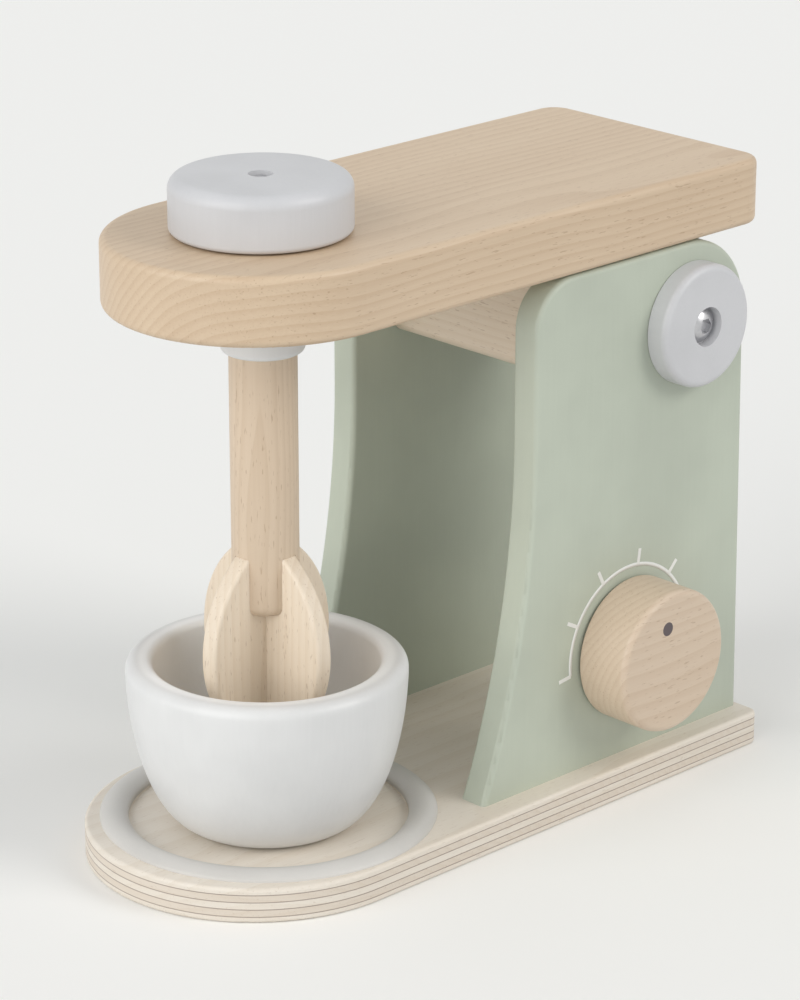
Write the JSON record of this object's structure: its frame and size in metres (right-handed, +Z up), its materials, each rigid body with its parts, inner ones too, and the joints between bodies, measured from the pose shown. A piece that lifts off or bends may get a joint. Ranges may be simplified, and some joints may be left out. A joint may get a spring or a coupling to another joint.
{
  "type": "toy stand mixer",
  "caption": "Wooden toy stand mixer: a flared stand on a board with a round end, a tilting arm, a turning whisk of crossed plates, a lift-out bowl and a dial.",
  "frame": {"origin": "middle of the base board's underside", "axes": "+X from the bowl's end to the back of the stand, +Y away from the dial's side, +Z up"},
  "size_m": [0.203, 0.105, 0.1896],
  "materials": {
    "plywood": "clear satin lacquer, plies show on the edge",
    "natural_wood": "clear satin lacquer",
    "green_paint": "satin sage green paint on wood",
    "white_paint": "satin white paint on wood",
    "dark_paint": "satin dark paint on wood",
    "steel": "bright zinc plate",
    "washer_plastic": "matte"
  },
  "bodies": {
    "frame": {"base_board": "plywood", "bowl_ring": "white_paint", "dial_side_panel": "green_paint", "plain_side_panel": "green_paint", "panel_dowels": "natural_wood", "panel_screws": "steel", "dial_side_pivot_disc": "white_paint", "plain_side_pivot_disc": "white_paint", "pivot_bolt": "steel", "pivot_sleeve_nut": "steel", "pivot_washers": "washer_plastic"},
    "arm": {"arm_board": "natural_wood", "hinge_block": "natural_wood", "block_screws": "steel"},
    "whisk": {"top_knob": "white_paint", "knob_screw": "steel", "whisk_shaft": "natural_wood", "under_arm_collar": "white_paint", "whisk_plate_upper_slot": "natural_wood", "whisk_plate_lower_slot": "natural_wood"},
    "dial": {"dial_knob": "natural_wood", "dial_pointer": "dark_paint", "dial_axle": "natural_wood", "dial_retainer": "natural_wood"},
    "bowl": {"bowl": "white_paint"}
  },
  "joints": [
    {"name": "arm_tilt", "type": "hinge", "parent": "frame", "child": "arm", "pos_m": [0.0737, 0, 0.132], "axis": [0, 1, 0], "range_deg": [0, 90]},
    {"name": "whisk_spin", "type": "hinge", "parent": "arm", "child": "whisk", "pos_m": [-0.049, 0, 0.1553], "axis": [0, 0, 1], "continuous": true},
    {"name": "dial_turn", "type": "hinge", "parent": "frame", "child": "dial", "pos_m": [0.0513, -0.04, 0.042], "axis": [0, -1, 0], "continuous": true},
    {"name": "bowl_lift", "type": "slide", "parent": "frame", "child": "bowl", "axis": [0, 0, 1], "range_m": [0, 0.014]}
  ]
}
